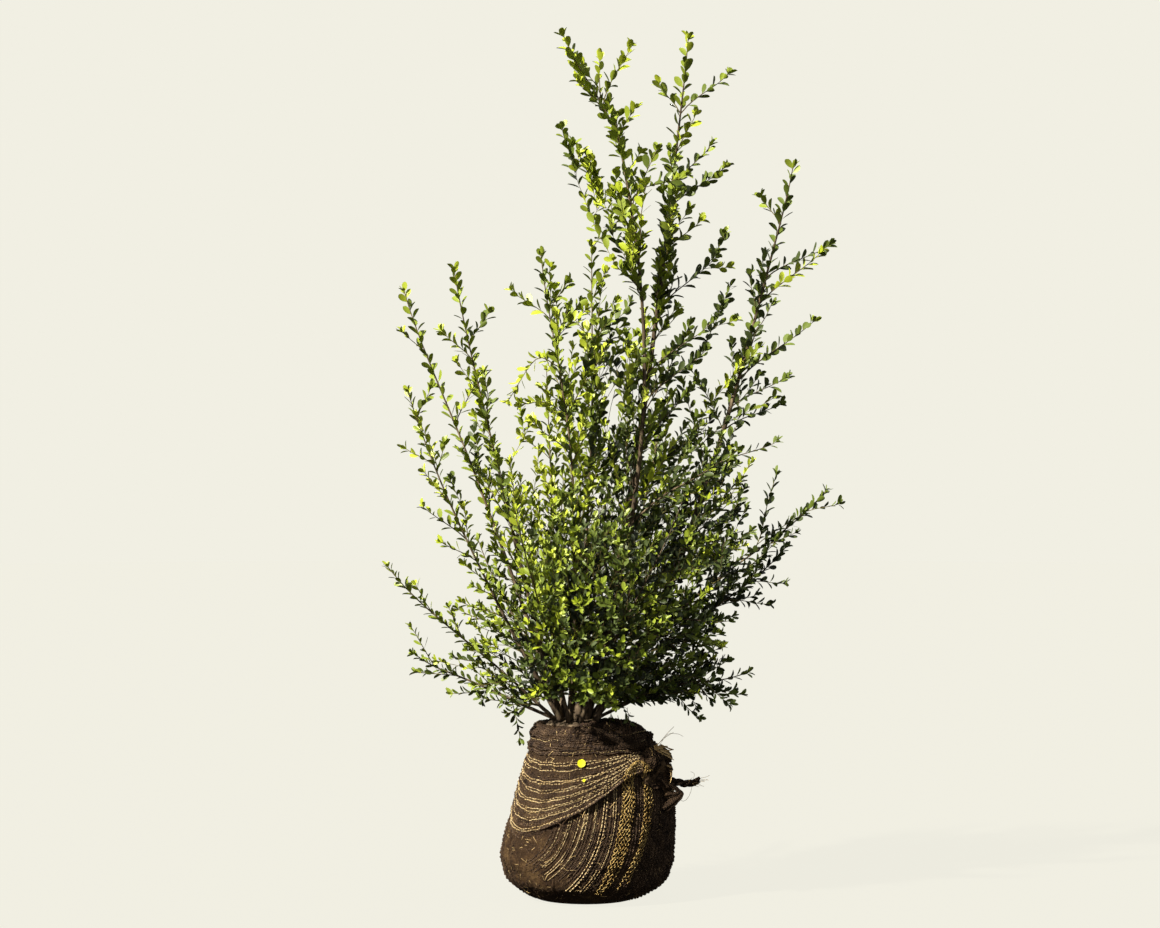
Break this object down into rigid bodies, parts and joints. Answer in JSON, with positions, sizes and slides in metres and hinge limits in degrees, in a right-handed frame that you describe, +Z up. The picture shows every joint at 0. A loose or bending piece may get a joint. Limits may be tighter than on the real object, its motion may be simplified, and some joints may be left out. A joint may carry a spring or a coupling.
{
  "type": "evergreen shrub with wrapped root ball",
  "caption": "Young small-leaved evergreen shrub with many upright stems, lifted with its root ball, which is wrapped in woven jute tied at the shoulder.",
  "frame": {"origin": "centre of the flat underside of the root ball", "axes": "+Z up, +X to the right of the side where the jute's knot shows at the right, -Y towards the viewer of that side"},
  "size_m": [0.678, 0.55, 1.297],
  "materials": {
    "bark": "matte",
    "foliage": "satin",
    "jute": "matte",
    "soil": "matte"
  },
  "bodies": {
    "root": {"back_foliage": "foliage", "back_left_low_bough": "bark", "back_left_low_bough_foliage": "foliage", "back_left_stem": "bark", "back_left_stem_foliage": "foliage", "back_low_bough": "bark", "back_low_bough_foliage": "foliage", "back_right_stem": "bark", "back_right_stem_foliage": "foliage", "centre_foliage": "foliage", "front_foliage": "foliage", "front_left_bough": "bark", "front_left_bough_foliage": "foliage", "front_right_bough": "bark", "front_right_bough_foliage": "foliage", "leader": "bark", "leader_foliage": "foliage", "left_front_bough": "bark", "left_front_bough_foliage": "foliage", "left_ground_bough": "bark", "left_ground_bough_foliage": "foliage", "left_low_bough": "bark", "left_low_bough_foliage": "foliage", "left_outer_stem": "bark", "left_outer_stem_foliage": "foliage", "left_tall_stem": "bark", "left_tall_stem_foliage": "foliage", "low_left_foliage": "foliage", "low_right_foliage": "foliage", "mid_left_stem": "bark", "mid_left_stem_foliage": "foliage", "mid_stem": "bark", "mid_stem_foliage": "foliage", "middle_left_foliage": "foliage", "middle_right_foliage": "foliage", "right_arching_bough": "bark", "right_arching_bough_foliage": "foliage", "right_ground_bough": "bark", "right_ground_bough_foliage": "foliage", "right_low_bough": "bark", "right_low_bough_foliage": "foliage", "right_stem": "bark", "right_stem_foliage": "foliage", "root_ball": "jute", "soil_top": "soil", "stem_base": "bark", "trunk": "bark", "trunk_foliage": "foliage", "upper_middle_foliage": "foliage", "wrap_ear": "jute", "wrap_knot": "jute", "wrap_tail": "jute"}
  },
  "joints": []
}
